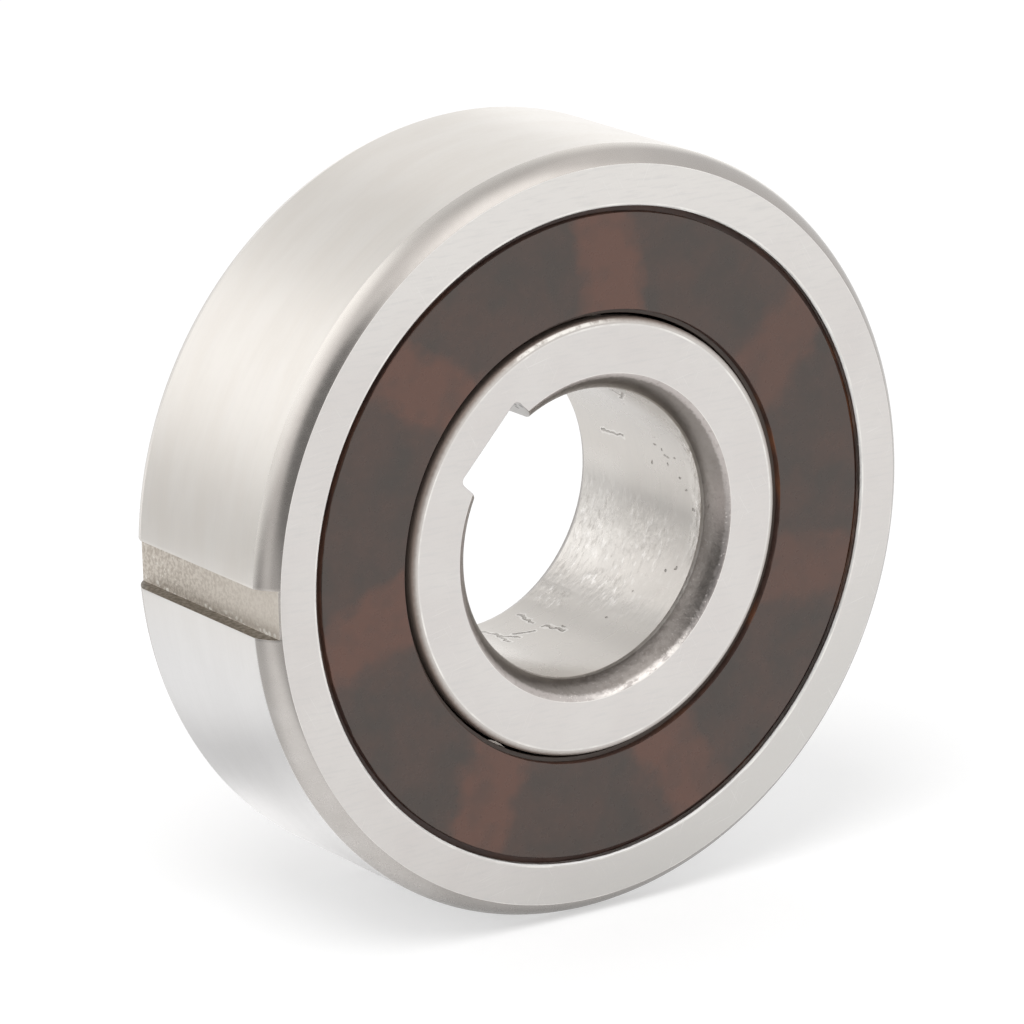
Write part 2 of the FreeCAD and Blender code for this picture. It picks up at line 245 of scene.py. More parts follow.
class Nodes:
    """Short calls that build one node tree. add gives a node, outputs_of and parts give a list of output
    sockets, and feed and surface give nothing. Every other call gives one output socket."""

    def __init__(self, owner):
        owner.use_nodes = True
        self.tree = owner.node_tree
        self.tree.nodes.clear()

    def add(self, kind, **settings):
        node = self.tree.nodes.new(kind)
        for name, value in settings.items():
            setattr(node, name, value)
        return node

    def feed(self, socket, value):
        """Links a socket, or sets its value. A colour is given without its alpha."""
        if isinstance(value, bpy.types.NodeSocket):
            self.tree.links.new(value, socket)
        elif socket.type == "RGBA":
            socket.default_value = (*value, 1)
        else:
            socket.default_value = value

    def outputs_of(self, kind, value):
        node = self.add(kind)
        self.feed(node.inputs[0], value)
        return list(node.outputs)

    def math(self, operation, first, second=0.0):
        node = self.add("ShaderNodeMath", operation=operation)
        self.feed(node.inputs[0], first)
        self.feed(node.inputs[1], second)
        return node.outputs[0]

    def combined(self, operation, values):
        total = values[0]
        for value in values[1:]:
            total = self.math(operation, total, value)
        return total

    def times(self, *values):
        return self.combined("MULTIPLY", values)

    def most(self, *values):
        return self.combined("MAXIMUM", values)

    def summed(self, *terms):
        """Sum of (value, factor) pairs."""
        return self.combined("ADD", [self.times(value, factor) for value, factor in terms])

    def vector(self, operation, first, second=(0, 0, 0)):
        node = self.add("ShaderNodeVectorMath", operation=operation)
        self.feed(node.inputs[0], first)
        self.feed(node.inputs[1], second)
        return node.outputs["Value" if operation in ("DOT_PRODUCT", "DISTANCE") else "Vector"]

    def scaled(self, vector, factors):
        return self.vector("MULTIPLY", vector, factors)

    def joined(self, x, y, z):
        node = self.add("ShaderNodeCombineXYZ")
        for socket, value in zip(node.inputs, (x, y, z)):
            self.feed(socket, value)
        return node.outputs[0]

    def parts(self, vector):
        return self.outputs_of("ShaderNodeSeparateXYZ", vector)

    def place_mm(self):
        """Place on the object, in millimetres of the frame."""
        coordinates = self.add("ShaderNodeTexCoord").outputs["Object"]
        return self.scaled(coordinates, (1 / MM, 1 / MM, 1 / MM))

    def radius(self, place):
        x, _, z = self.parts(place)
        return self.math("SQRT", self.summed((x, x), (z, z)))

    def angle(self, place):
        """Angle about the axis, in degrees."""
        x, _, z = self.parts(place)
        return self.times(self.math("ARCTAN2", z, x), math.degrees(1))

    def turned(self, place, angle):
        """Place turned about the axis by an angle in radians."""
        node = self.add("ShaderNodeVectorRotate", rotation_type="Y_AXIS")
        self.feed(node.inputs["Vector"], place)
        self.feed(node.inputs["Angle"], angle)
        return node.outputs[0]

    def step(self, value, low, high, to_low=0.0, to_high=1.0, shape="SMOOTHSTEP"):
        """Step of a value, from low to high, smooth or straight."""
        node = self.add("ShaderNodeMapRange", interpolation_type=shape)
        for socket, number in zip(node.inputs, (value, low, high, to_low, to_high)):
            self.feed(socket, number)
        return node.outputs[0]

    def fade(self, value, low, high):
        """One up to low, and nothing from high on."""
        return self.step(value, low, high, 1.0, 0.0)

    def window(self, value, low, high, soft):
        """One between two bounds, with soft edges inside them."""
        return self.times(self.step(value, low, low + soft), self.fade(value, high - soft, high))

    def spread(self, noise, to_low=0.0, to_high=1.0):
        """Most values of a noise, spread from one number to another."""
        return self.step(noise, NOISE_LOW, NOISE_HIGH, to_low, to_high)

    def either(self, share, first, second):
        """Number between two others, the second where the share is one."""
        node = self.add("ShaderNodeMix", data_type="FLOAT")
        for index, number in ((0, share), (2, first), (3, second)):
            self.feed(node.inputs[index], number)
        return node.outputs[0]

    def colour(self, share, first, second):
        """Colour between two others, the second where the share is one."""
        node = self.add("ShaderNodeMix", data_type="RGBA")
        for index, value in ((0, share), (6, first), (7, second)):
            self.feed(node.inputs[index], value)
        return node.outputs[2]

    def tinted(self, colour, mask, amount, tint):
        """Colour with an amount of a tint where the mask is one."""
        return self.colour(self.times(mask, amount), colour, tint)

    def noise(self, vector, scale, detail=2.0, roughness=0.5):
        node = self.add("ShaderNodeTexNoise")
        self.feed(node.inputs["Vector"], vector)
        self.feed(node.inputs["Scale"], scale)
        self.feed(node.inputs["Detail"], detail)
        self.feed(node.inputs["Roughness"], roughness)
        return node.outputs[0]

    def spots(self, place, spacing, radius, share):
        """Mask of round spots about a spacing apart, in mm. Only a share of the places has one."""
        cell = self.add("ShaderNodeTexVoronoi", feature="F1")
        self.feed(cell.inputs["Vector"], place)
        self.feed(cell.inputs["Scale"], 1 / spacing)
        disc = self.fade(cell.outputs["Distance"], 0.5 * radius / spacing, radius / spacing)
        lot = self.outputs_of("ShaderNodeSeparateColor", cell.outputs["Color"])[0]
        return self.times(disc, self.math("LESS_THAN", lot, share))

    def scratches(self, place, turns, length, width, rarity):
        """Mask of fine straight scratches on a face across Y, one family for each turn in degrees."""
        families = []
        for turn in turns:
            lengthwise = self.turned(place, math.radians(turn))
            drawn = self.noise(self.scaled(lengthwise, (1 / length, 1, 1 / width)), 1.0, 1.0)
            families.append(self.step(drawn, rarity, rarity + 0.05))
        return self.most(*families)

    def from_line(self, place, start, end):
        """Distance of a place from the line between two points."""
        along = end - start
        offset = self.vector("SUBTRACT", place, tuple(start))
        share = self.math("DIVIDE", self.vector("DOT_PRODUCT", offset, tuple(along)), along.length_squared)
        share = self.math("MINIMUM", self.most(share, 0.0), 1.0)
        nearest = self.scaled(self.joined(share, share, share), tuple(along))
        return self.vector("DISTANCE", offset, nearest)

    def bump(self, height, distance_mm):
        node = self.add("ShaderNodeBump")
        self.feed(node.inputs["Distance"], distance_mm * MM)
        self.feed(node.inputs["Height"], height)
        return node.outputs[0]

    def principled(self, **values):
        node = self.add("ShaderNodeBsdfPrincipled")
        for name, value in values.items():
            self.feed(node.inputs[name.replace("_", " ")], value)
        return node.outputs[0]

    def surface(self, shader):
        output = self.add("ShaderNodeOutputMaterial")
        self.feed(output.inputs["Surface"], shader)


def level_seen(nodes, direction):
    """Level that the camera, mirrors and glass see towards a direction, and a mask of such rays."""
    path = nodes.add("ShaderNodeLightPath").outputs
    level = REFLECTED_LEVEL
    for centre, change, start, full in REFLECTED_CHANGES:
        towards = nodes.vector("DOT_PRODUCT", direction, tuple(Vector(centre).normalized()))
        level = nodes.math("ADD", level, nodes.step(towards, start, full, 0.0, change))
    level = nodes.most(level, LOWEST_REFLECTED)
    seen = nodes.most(path["Is Camera Ray"], path["Is Glossy Ray"], path["Is Transmission Ray"])
    return nodes.either(path["Is Camera Ray"], level, 1.0), seen


def make_world():
    world = bpy.data.worlds.new("studio")
    bpy.context.scene.world = world
    nodes = Nodes(world)
    level, seen = level_seen(nodes, nodes.add("ShaderNodeTexCoord").outputs["Generated"])
    background = nodes.add("ShaderNodeBackground")
    nodes.feed(background.inputs["Color"], (1, 1, 1))
    nodes.feed(background.inputs["Strength"], nodes.either(seen, WORLD_DIFFUSE, level))
    output = nodes.add("ShaderNodeOutputWorld")
    nodes.feed(output.inputs["Surface"], background.outputs[0])


def make_floor():
    mesh = bpy.data.meshes.new("floor")
    half = FLOOR_SIZE / 2
    level = cad_box[0][2]
    corners = [(-half, -half, level), (half, -half, level), (half, half, level), (-half, half, level)]
    mesh.from_pydata(corners, [], [(0, 1, 2, 3)])
    floor = bpy.data.objects.new("floor", mesh)
    bpy.context.scene.collection.objects.link(floor)
    material = bpy.data.materials.new("floor")
    mesh.materials.append(material)
    nodes = Nodes(material)
    outward = nodes.vector("NORMALIZE", nodes.add("ShaderNodeTexCoord").outputs["Object"])
    level, seen = level_seen(nodes, outward)
    diffuse = nodes.add("ShaderNodeBsdfDiffuse")
    tone = nodes.either(seen, FLOOR_TONE, nodes.times(level, FLOOR_SHADE_SHARE))
    nodes.feed(diffuse.inputs["Color"], nodes.joined(tone, tone, tone))
    glow = nodes.add("ShaderNodeEmission")
    own_light = nodes.times(level, FLOOR_OWN_LIGHT)
    nodes.feed(glow.inputs["Strength"], nodes.either(seen, 0.0, own_light))
    both = nodes.add("ShaderNodeAddShader")
    nodes.feed(both.inputs[0], diffuse.outputs[0])
    nodes.feed(both.inputs[1], glow.outputs[0])
    nodes.surface(both.outputs[0])


def make_lamp():
    data = bpy.data.lights.new("key_lamp", "AREA")
    data.shape = "DISK"
    data.size = KEY_LAMP_SIZE
    data.energy = KEY_LAMP_POWER
    lamp = bpy.data.objects.new("key_lamp", data)
    lamp.location = KEY_LAMP_PLACE
    lamp.rotation_euler = (-KEY_LAMP_PLACE).to_track_quat("-Z", "Y").to_euler()
    lamp.visible_glossy = False
    bpy.context.scene.collection.objects.link(lamp)


def make_finish(name, build, **settings):
    """Material from build(nodes, place), which gives its colour, roughness and normal."""
    material = bpy.data.materials.new(name)
    nodes = Nodes(material)
    colour, roughness, normal = build(nodes, nodes.place_mm())
    nodes.surface(nodes.principled(Base_Color=colour, Roughness=roughness, Normal=normal, **settings))
    return material


def steel(name, build, metallic=1.0):
    """Steel, bare or under a dull film."""
    return make_finish(name, build, Metallic=metallic)


def ground_face(nodes, place):
    """Fine ground face with faint blotches, cloudy streaks and crossing scratches. Painted light makes it
    paler towards the top, painted shade makes it darker low on the right, and broken painted highlights run
    along the edges of its faces.
    """
    radius = nodes.radius(place)
    x, _, z = nodes.parts(place)
    grain = nodes.noise(place, 9.0, 3.0)
    patches = nodes.noise(place, 0.45, 3.0)
    lay = nodes.noise(nodes.scaled(place, (0.8, 1, 7)), 1.0, 3.0)
    low_right = nodes.summed((x, 0.5), (z, -0.85))
    scratches = nodes.scratches(place, SCRATCH_TURNS, SCRATCH_LENGTH, SCRATCH_WIDTH, SCRATCH_RARITY)
    marks = nodes.times(scratches, nodes.step(nodes.noise(place, 0.35, 1.0), 0.42, 0.6))
    colour = nodes.colour(patches, (0.685, 0.65, 0.63), (0.745, 0.72, 0.695))
    # Paler towards the top as painted light, darker low on the right as painted shade.
    colour = nodes.colour(nodes.step(z, 7, 15, 0.0, 0.8), colour, (0.79, 0.765, 0.735))
    colour = nodes.colour(nodes.step(low_right, 7, 15, 0.0, 0.9), colour, (0.64, 0.625, 0.60))
    colour = nodes.colour(nodes.step(lay, 0.45, 0.75, 0.0, 0.4), colour, (0.64, 0.625, 0.61))
    colour = nodes.tinted(colour, marks, 0.35, (0.88, 0.86, 0.84))
    # Broken painted highlights along the edges of the faces.
    rim_highlights = [nodes.window(radius, *SHOULDER_RIM_HIGHLIGHT, 0.05)]
    rim_highlights += [nodes.window(radius, start, end, 0.03) for start, end in SHARP_RIM_HIGHLIGHTS]
    rim_highlight_share = nodes.step(nodes.noise(place, 0.55, 4.0, 0.65), 0.42, 0.66, 0.15, 0.8)
    colour = nodes.colour(nodes.times(nodes.most(*rim_highlights), rim_highlight_share), colour, (0.98, 0.955, 0.91))
    height = nodes.summed((grain, 0.5), (lay, 0.35), (marks, -0.6))
    return colour, nodes.spread(grain, 0.30, 0.40), nodes.bump(height, 0.003)


def outside_colour(nodes, place):
    """Warm grey above, neutral below, with broad faint patches."""
    patches = nodes.spread(nodes.noise(nodes.scaled(place, (0.3, 0.9, 0.3)), 1.0, 4.0))
    height = nodes.parts(place)[2]
    warm = nodes.colour(patches, (0.79, 0.75, 0.70), (0.815, 0.78, 0.735))
    neutral = nodes.colour(patches, (0.78, 0.77, 0.765), (0.80, 0.79, 0.785))
    return nodes.colour(nodes.step(height, -5, 2), neutral, warm)


def ground_outside(nodes, place):
    """Smooth satin outside, with only a trace of its grinding lay."""
    lay = nodes.noise(nodes.scaled(place, (0.2, 7, 0.2)), 1.0, 3.0)
    fine = nodes.noise(place, 5.0, 2.0)
    trace = nodes.step(lay, 0.4, 0.8, 0.0, 0.12)
    colour = nodes.colour(trace, outside_colour(nodes, place), (0.7, 0.685, 0.665))
    height = nodes.summed((lay, 0.2), (fine, 0.3))
    return colour, nodes.spread(fine, 0.28, 0.32), nodes.bump(height, 0.0005)


def turned_corner_with_shade(nodes, place):
    """Chamfer left as it was turned: like the outside where it leaves it, greyer towards the face, and
    greyest low down and on the right as painted shade. Painted light carries the outside's paler colour
    further onto it above."""
    x, y, z = nodes.parts(place)
    grain = nodes.noise(place, 4.0, 3.0)
    patches = nodes.noise(place, 0.7, 2.0)
    # Paler above than below: painted light and shade.
    upper = nodes.colour(patches, (0.52, 0.48, 0.45), (0.60, 0.565, 0.53))
    lower = nodes.colour(patches, (0.42, 0.395, 0.37), (0.53, 0.505, 0.485))
    grey = nodes.colour(nodes.step(z, -6, 3), lower, upper)
    # Darker still on the right and at the very bottom: painted shade.
    ends = nodes.most(nodes.step(x, -2, 6), nodes.fade(z, -15.5, -11))
    grey = nodes.tinted(grey, ends, 0.6, (0.37, 0.35, 0.335))
    # The outside's paler colour reaches further onto the corner above, and a little more at the upper left:
    # painted light.
    upper_left_light = nodes.times(nodes.step(z, 5, 11, 0.0, CORNER_END_ADDED), nodes.fade(x, -5, 2))
    end = nodes.math("ADD", nodes.step(z, -2, 3, CORNER_END_BELOW, CORNER_END_ABOVE), upper_left_light)
    from_outside = nodes.step(nodes.math("ABSOLUTE", y), CORNER_START, end)
    colour = nodes.colour(from_outside, outside_colour(nodes, place), grey)
    return colour, nodes.spread(grain, 0.24, 0.28), nodes.bump(grain, 0.001)


def bore_flaws(nodes, angle, y):
    """Masks of the bore's cracks, of painted highlights on the raised lip beside each, and of its pits."""
    degree_mm = math.radians(BORE_R / MM)
    flat = nodes.joined(nodes.times(angle, degree_mm), y, 0.0)
    drift = nodes.noise(flat, FLAW_WAVES).node.outputs["Color"]
    shift = nodes.vector("SUBTRACT", drift, (0.5, 0.5, 0.5))
    wavy = nodes.vector("ADD", flat, nodes.scaled(shift, (FLAW_WAVE_MM, FLAW_WAVE_MM, 0.0)))

    def on_wall(place):
        return Vector((place[0] * degree_mm, place[1], 0))

    from_cracks = [nodes.from_line(wavy, on_wall(start), on_wall(end)) for start, end in BORE_CRACKS]
    from_pits = [nodes.vector("DISTANCE", wavy, tuple(on_wall(place))) for place in BORE_PITS]
    to_crack = nodes.combined("MINIMUM", from_cracks)
    to_pit = nodes.combined("MINIMUM", from_pits)
    lip_highlights = nodes.window(to_crack, 0.06, 0.17, 0.04)
    return nodes.fade(to_crack, 0.02, 0.07), lip_highlights, nodes.fade(to_pit, 0.03, 0.08)


def bore_wall(nodes, place):
    """Reamed bore: satin and rippled low on the right, with painted highlights and shade on its ripples,
    painted shade in two dark stripes and towards its front, painted light towards its back, and some cracks
    and pits.
    """
    angle = nodes.angle(place)
    y = nodes.parts(place)[1]
    lay = nodes.noise(nodes.scaled(place, (0.4, 8, 0.4)), 1.0, 2.0)
    patches = nodes.noise(place, 0.6, 3.0)
    flecks = nodes.noise(nodes.joined(nodes.times(angle, 0.2), nodes.times(y, 3.6), 0.0), 1.0, 3.0, 0.55)

    # Stretches with flecks: low on the right, a cluster low down near the back, and beside the front
    uneven = nodes.step(nodes.noise(place, 0.8, 2.0), 0.3, 0.6, 0.45, 1.0)
    low_right = nodes.times(nodes.window(angle, -60, 4, 20), nodes.step(y, -3.6, 0.5, 0.25, 1.0), uneven)
    cluster = nodes.times(nodes.window(angle, -64, -47, 6), nodes.step(y, 1.2, 2.2))
    front_rim = nodes.times(nodes.window(angle, -28, 46, 14), nodes.fade(y, -3.85, -3.2))
    flecked = nodes.most(low_right, cluster, front_rim)

    # Pits: the placed ones, some strewn about, and nicks beside the front
    cracks, lip_highlights, pits = bore_flaws(nodes, angle, y)
    stray = nodes.times(nodes.spots(place, 0.5, 0.05, 0.2), nodes.step(patches, 0.45, 0.6), 0.6)
    by_front = nodes.times(nodes.window(angle, -4, 42, 10), nodes.fade(y, -2.6, -1.2))
    nicks = nodes.times(nodes.spots(nodes.scaled(place, (1, 0.5, 1)), 0.3, 0.06, 0.25), by_front)
    pits = nodes.most(pits, stray, nicks)

    colour = nodes.colour(patches, (0.64, 0.606, 0.567), (0.715, 0.68, 0.64))
    colour = nodes.colour(nodes.step(angle, 2, 45, 0.0, 0.6), colour, (0.605, 0.585, 0.565))
    colour = nodes.colour(nodes.step(lay, 0.4, 0.8, 0.0, 0.15), colour, (0.56, 0.55, 0.53))
    # Two dark stripes at fixed angles and a darker stretch in front: painted shade. A paler stretch at the
    # back: painted light.
    shade_bands = nodes.most(nodes.window(angle, -12, 2, 7), nodes.window(angle, -56, -40, 7))
    colour = nodes.tinted(colour, shade_bands, 0.28, (0.46, 0.44, 0.42))
    front_shade = nodes.times(nodes.window(angle, -50, -10, 14), nodes.step(y, -3.2, 0.2, 0.45, 0.0))
    colour = nodes.colour(front_shade, colour, (0.50, 0.47, 0.44))
    back_light = nodes.times(nodes.window(angle, -44, 14, 12), nodes.step(y, 0.0, 2.5, 0.0, 0.4))
    colour = nodes.colour(back_light, colour, (0.88, 0.85, 0.81))
    # Bright and dark flecks on the ripples: painted highlights and painted shade.
    painted_glints = nodes.times(nodes.step(flecks, 0.55, 0.68), flecked)
    colour = nodes.tinted(colour, painted_glints, 0.6, (0.95, 0.92, 0.89))
    fleck_shade = nodes.times(nodes.fade(flecks, 0.33, 0.45), flecked)
    colour = nodes.tinted(colour, fleck_shade, 0.4, (0.38, 0.35, 0.32))
    # Painted highlights beside the cracks.
    colour = nodes.tinted(colour, lip_highlights, 0.45, (0.92, 0.90, 0.87))
    colour = nodes.tinted(colour, cracks, 0.5, (0.26, 0.24, 0.22))
    colour = nodes.tinted(colour, pits, 0.55, (0.22, 0.21, 0.19))
    height = nodes.summed((lay, 0.012), (patches, 0.2), (nodes.times(flecks, flecked), 2.8),
                          (cracks, -2.0), (pits, -1.2))
    return colour, nodes.spread(patches, 0.25, 0.30), nodes.bump(height, 0.025)


def bore_chamfer(nodes, place):
    """Chamfer of the bore: dark beside the bore and paler towards the face as painted reflection, specked low
    on the right with painted highlights, with a painted highlight low on the right and another along its edge
    at the bore.
    """
    radius = nodes.radius(place)
    angle = nodes.angle(place)
    y = nodes.parts(place)[1]
    grain = nodes.noise(place, 5.0, 4.0, 0.6)
    patches = nodes.noise(place, 0.9, 2.0)
    streaks = nodes.noise(nodes.joined(nodes.times(angle, 0.06), radius, y), 3.6, 4.0, 0.6)

    # Dark beside the bore and paler towards the face, with a paler patch on the right: painted reflection and
    # painted light.
    dark = nodes.colour(patches, (0.27, 0.245, 0.225), (0.345, 0.315, 0.295))
    lighter = nodes.times(nodes.window(angle, -16, 18, 14), nodes.step(radius, 6.1, 6.5))
    dark = nodes.colour(lighter, dark, (0.45, 0.40, 0.375))
    pale = nodes.colour(patches, (0.52, 0.475, 0.455), (0.62, 0.575, 0.55))
    ragged = nodes.summed((radius, 1.0), (grain, 0.22))
    ragged = nodes.math("SUBTRACT", ragged, nodes.step(angle, -130, -60, 0.0, 0.07))
    towards_face = nodes.step(ragged, *CHAMFER_LINE)
    colour = nodes.colour(towards_face, dark, pale)
    colour = nodes.tinted(colour, nodes.step(grain, 0.5, 0.75), 0.3, (0.24, 0.20, 0.18))

    # Bright specks, raised a little by the bump and painted as highlights.
    specked = nodes.window(angle, -125, 20, 25)
    more_on_pale = nodes.step(towards_face, 0, 1, 0.12, 0.6)
    specks = nodes.times(nodes.spots(place, 0.12, 0.045, 0.4), specked, more_on_pale)
    colour = nodes.colour(specks, colour, (0.85, 0.80, 0.76))
    scored = nodes.times(nodes.fade(streaks, 0.40, 0.52), nodes.window(angle, -100, 5, 25))
    colour = nodes.tinted(colour, scored, 0.25, (0.17, 0.15, 0.135))
    # Painted highlight low on the right.
    painted_shine = nodes.times(nodes.window(angle, -100, -36, 18), nodes.step(radius, 6.52, 6.74),
                        nodes.step(streaks, 0.42, 0.6))
    colour = nodes.tinted(colour, painted_shine, 0.75, (0.98, 0.93, 0.88))
    # Painted highlight along the edge at the bore.
    lip = nodes.window(radius, *BORE_EDGE_HIGHLIGHT, 0.02)
    colour = nodes.tinted(colour, lip, 0.6, (0.70, 0.67, 0.64))
    height = nodes.summed((grain, 1.0), (specks, 0.5))
    height = nodes.times(height, nodes.step(specked, 0, 1, 0.4, 1.0))
    return colour, nodes.spread(grain, 0.28, 0.40), nodes.bump(height, 0.016)


def sawn_keyway(nodes, place):
    """Beige grainy floor of the outer keyway, with bright spots, painted highlights over a little bump, along
    its lower wall and strewn over it, more towards its back end.
    """
    across = nodes.parts(nodes.turned(place, OUTER_KEY_ANGLE))[2]
    along = nodes.parts(place)[1]
    grain = nodes.noise(place, 6.0, 5.0, 0.65)
    coarse = nodes.step(along, -4.2, 3.5, 0.35, 1.0)
    # Bright spots along the lower wall and strewn over the floor: painted highlights.
    small = nodes.times(nodes.spots(place, 0.22, 0.06, 0.3), nodes.step(along, 0.5, 4, 0.12, 0.7))
    large = nodes.times(nodes.spots(place, 0.26, 0.13, 0.6), nodes.step(across, 0.62, 0.9))
    painted_glints = nodes.most(small, large)
    dark = nodes.times(nodes.step(grain, 0.38, 0.60, 0.9, 0.0), coarse)
    colour = nodes.colour(dark, (0.77, 0.715, 0.645), (0.56, 0.50, 0.435))
    colour = nodes.colour(painted_glints, colour, (0.97, 0.94, 0.88))
    height = nodes.times(nodes.summed((grain, 1.0), (painted_glints, 0.5)), coarse)
    return colour, 0.55, nodes.bump(height, 0.03)


def sawn_wall(nodes, place):
    """Walls of the outer keyway: dark and grainy."""
    grain = nodes.noise(place, 6.0, 4.0)
    colour = nodes.colour(nodes.step(grain, 0.35, 0.65), (0.20, 0.175, 0.145), (0.34, 0.31, 0.27))
    return colour, 0.5, nodes.bump(grain, 0.03)


def broached_keyway(nodes, place):
    """Floor and walls of the wide keyway: grey, drawn along the axis, with a few dark specks."""
    lay = nodes.noise(nodes.scaled(place, (6, 0.5, 6)), 1.0, 3.0)
    specks = nodes.spots(place, 0.55, 0.16, 0.35)
    for pit in SHAFT_KEYWAY_PITS:
        specks = nodes.most(specks, nodes.fade(nodes.vector("DISTANCE", place, pit), 0.06, 0.15))
    colour = nodes.colour(lay, (0.44, 0.42, 0.40), (0.60, 0.585, 0.57))
    colour = nodes.tinted(colour, specks, 0.85, (0.10, 0.09, 0.08))
    return colour, 0.34, nodes.bump(nodes.summed((lay, 1.0), (specks, -0.6)), 0.012)


def rough_recess(nodes, place):
    """Turned wall that the shield sits in, with ridges round it, small painted highlights, and a band of
    painted shade and then a painted highlight by its rim.
    """
    ridges = nodes.noise(nodes.scaled(place, (1.2, 16, 1.2)), 1.0, 3.0)
    painted_glints = nodes.spots(place, 0.5, 0.08, 0.15)
    from_middle = nodes.math("ABSOLUTE", nodes.parts(place)[1])
    ragged = nodes.math("ADD", from_middle, nodes.times(ridges, 0.05))
    colour = nodes.colour(nodes.spread(ridges), (0.50, 0.47, 0.44), (0.90, 0.87, 0.84))
    # A band of painted shade near the rim, a painted highlight on the rim, and small painted highlights
    # strewn over the wall.
    colour = nodes.colour(nodes.window(ragged, *RECESS_SHADE, 0.02), colour, (0.22, 0.195, 0.18))
    colour = nodes.colour(nodes.step(ragged, *RECESS_RIM_HIGHLIGHT), colour, (0.90, 0.89, 0.87))
    colour = nodes.colour(painted_glints, colour, (0.95, 0.93, 0.90))
    return colour, 0.6, nodes.bump(nodes.summed((ridges, 1.0), (painted_glints, 0.4)), 0.03)


def shoulder_shade_and_highlight(nodes, place):
    """Dull rounding of the inner ring beside the shield, with brown painted shade towards the gap under the
    lip, less of it on the right, and a broken painted highlight near the top.
    """
    radius = nodes.radius(place)
    angle = nodes.angle(place)
    grain = nodes.noise(place, 6.0, 3.0)
    # Painted shade towards the gap, less of it on the right.
    towards_gap = nodes.step(nodes.summed((radius, 1.0), (grain, 0.08)), *SHOULDER_SHADE)
    less_on_right = nodes.step(nodes.window(angle, -110, 75, 35), 0, 1, 1.0, 0.3)
    brown = nodes.times(towards_gap, less_on_right)
    colour = nodes.colour(brown, (0.64, 0.60, 0.565), (0.27, 0.215, 0.185))
    # Broken painted highlight near the top.
    broken = nodes.step(nodes.noise(place, 1.6, 4.0, 0.65), 0.38, 0.55, 0.2, 0.9)
    painted_shine = nodes.times(nodes.window(angle, 80, 126, 14), nodes.window(radius, *SHOULDER_HIGHLIGHT, 0.05), broken)
    colour = nodes.colour(painted_shine, colour, (1.0, 0.96, 0.90))
    return colour, 0.42, nodes.bump(grain, 0.004)


def shield_edge(nodes, place):
    """Cut edge of a shield: near black, with painted light, a reddish brown glow, in stretches low on the
    right where light would shine through the plastic.
    """
    stretches = nodes.step(nodes.noise(place, 0.35, 2.0), 0.45, 0.62)
    low_right = nodes.most(nodes.window(nodes.angle(place), -75, 45, 30), 0.25)
    grain = nodes.noise(place, 5.0, 3.0)
    dark = nodes.colour(grain, (0.050, 0.029, 0.024), (0.085, 0.048, 0.038))
    # Painted light: a reddish glow in stretches low on the right.
    colour = nodes.colour(nodes.times(stretches, low_right), dark, (0.17, 0.07, 0.035))
    return colour, nodes.spread(grain, 0.38, 0.5), nodes.bump(grain, 0.006)


def sprag_ends(nodes, place):
    """Mask of the sprags' ends behind a shield, where their light through it is painted: mottled, and weaker
    on the right.
    """
    angle = nodes.angle(place)
    step = 360.0 / SPRAG_COUNT
    turns = nodes.math("DIVIDE", nodes.math("SUBTRACT", angle, FIRST_SPRAG_ANGLE), step)
    past_sprag = nodes.times(nodes.math("SUBTRACT", turns, nodes.math("ROUND", turns)), step)
    wander = nodes.step(nodes.noise(place, 0.8, 3.0), 0.2, 0.8, -2.0, 2.0)
    past_sprag = nodes.math("ADD", past_sprag, wander)
    low_bound = nodes.step(nodes.radius(place), *SPRAG_END_RADII, *SPRAG_END_LOW, "LINEAR")
    inside_low = nodes.step(nodes.math("SUBTRACT", past_sprag, low_bound), *SPRAG_END_LOW_SOFT)
    inside_high = nodes.fade(past_sprag, *SPRAG_END_HIGH_SOFT)
    mottled = nodes.step(nodes.noise(place, 0.6, 3.0), 0.3, 0.6, 0.55, 1.1)
    less_on_right = nodes.step(nodes.window(angle, -80, 75, 30), 0, 1, 1.0, 0.65)
    return nodes.times(inside_low, inside_high, mottled, less_on_right)


def shield_plastic(nodes, place):
    """Brown plastic, painted lighter and redder where a sprag's end would show through it."""
    warm = nodes.step(nodes.noise(place, 0.5, 2.0), 0.45, 0.7, 0.0, 0.45)
    cloudy = nodes.step(nodes.noise(place, 0.4, 4.0), 0.34, 0.66)
    fine = nodes.spread(nodes.noise(place, 4.0, 3.0), 0.0, 0.25)
    colour = nodes.colour(cloudy, (0.063, 0.050, 0.042), (0.086, 0.056, 0.045))
    colour = nodes.colour(warm, colour, (0.100, 0.058, 0.044))
    colour = nodes.colour(fine, colour, (0.055, 0.044, 0.038))
    # Lighter, redder sectors where the sprags' ends would show through: painted light.
    colour = nodes.colour(sprag_ends(nodes, place), colour, (0.134, 0.066, 0.047))
    rust = nodes.spots(nodes.vector("ADD", place, (3.3, 1.7, 5.1)), 2.3, 0.12, 0.12)
    colour = nodes.tinted(colour, rust, 0.4, (0.24, 0.09, 0.05))
    dust = nodes.spots(place, 1.6, 0.045, 0.16)
    colour = nodes.tinted(colour, dust, 0.6, (0.62, 0.60, 0.57))
    grain = nodes.noise(place, 2.5, 3.0)
    height = nodes.summed((grain, 1.0), (dust, 1.5))
    return colour, nodes.spread(grain, 0.26, 0.34), nodes.bump(height, 0.004)


def plain_finish(name, base, roughness, metallic, grain_scale, grain_mm):
    """Finish of a piece that lies inside the bearing."""

    def build(nodes, place):
        grain = nodes.noise(place, grain_scale, 3.0)
        darker = tuple(GRAIN_DARK_SHARE * part for part in base)
        uneven = nodes.spread(grain, roughness * 0.85, roughness * 1.15)
        return nodes.colour(grain, darker, base), uneven, nodes.bump(grain, grain_mm)

    return make_finish(name, build, Metallic=metallic)


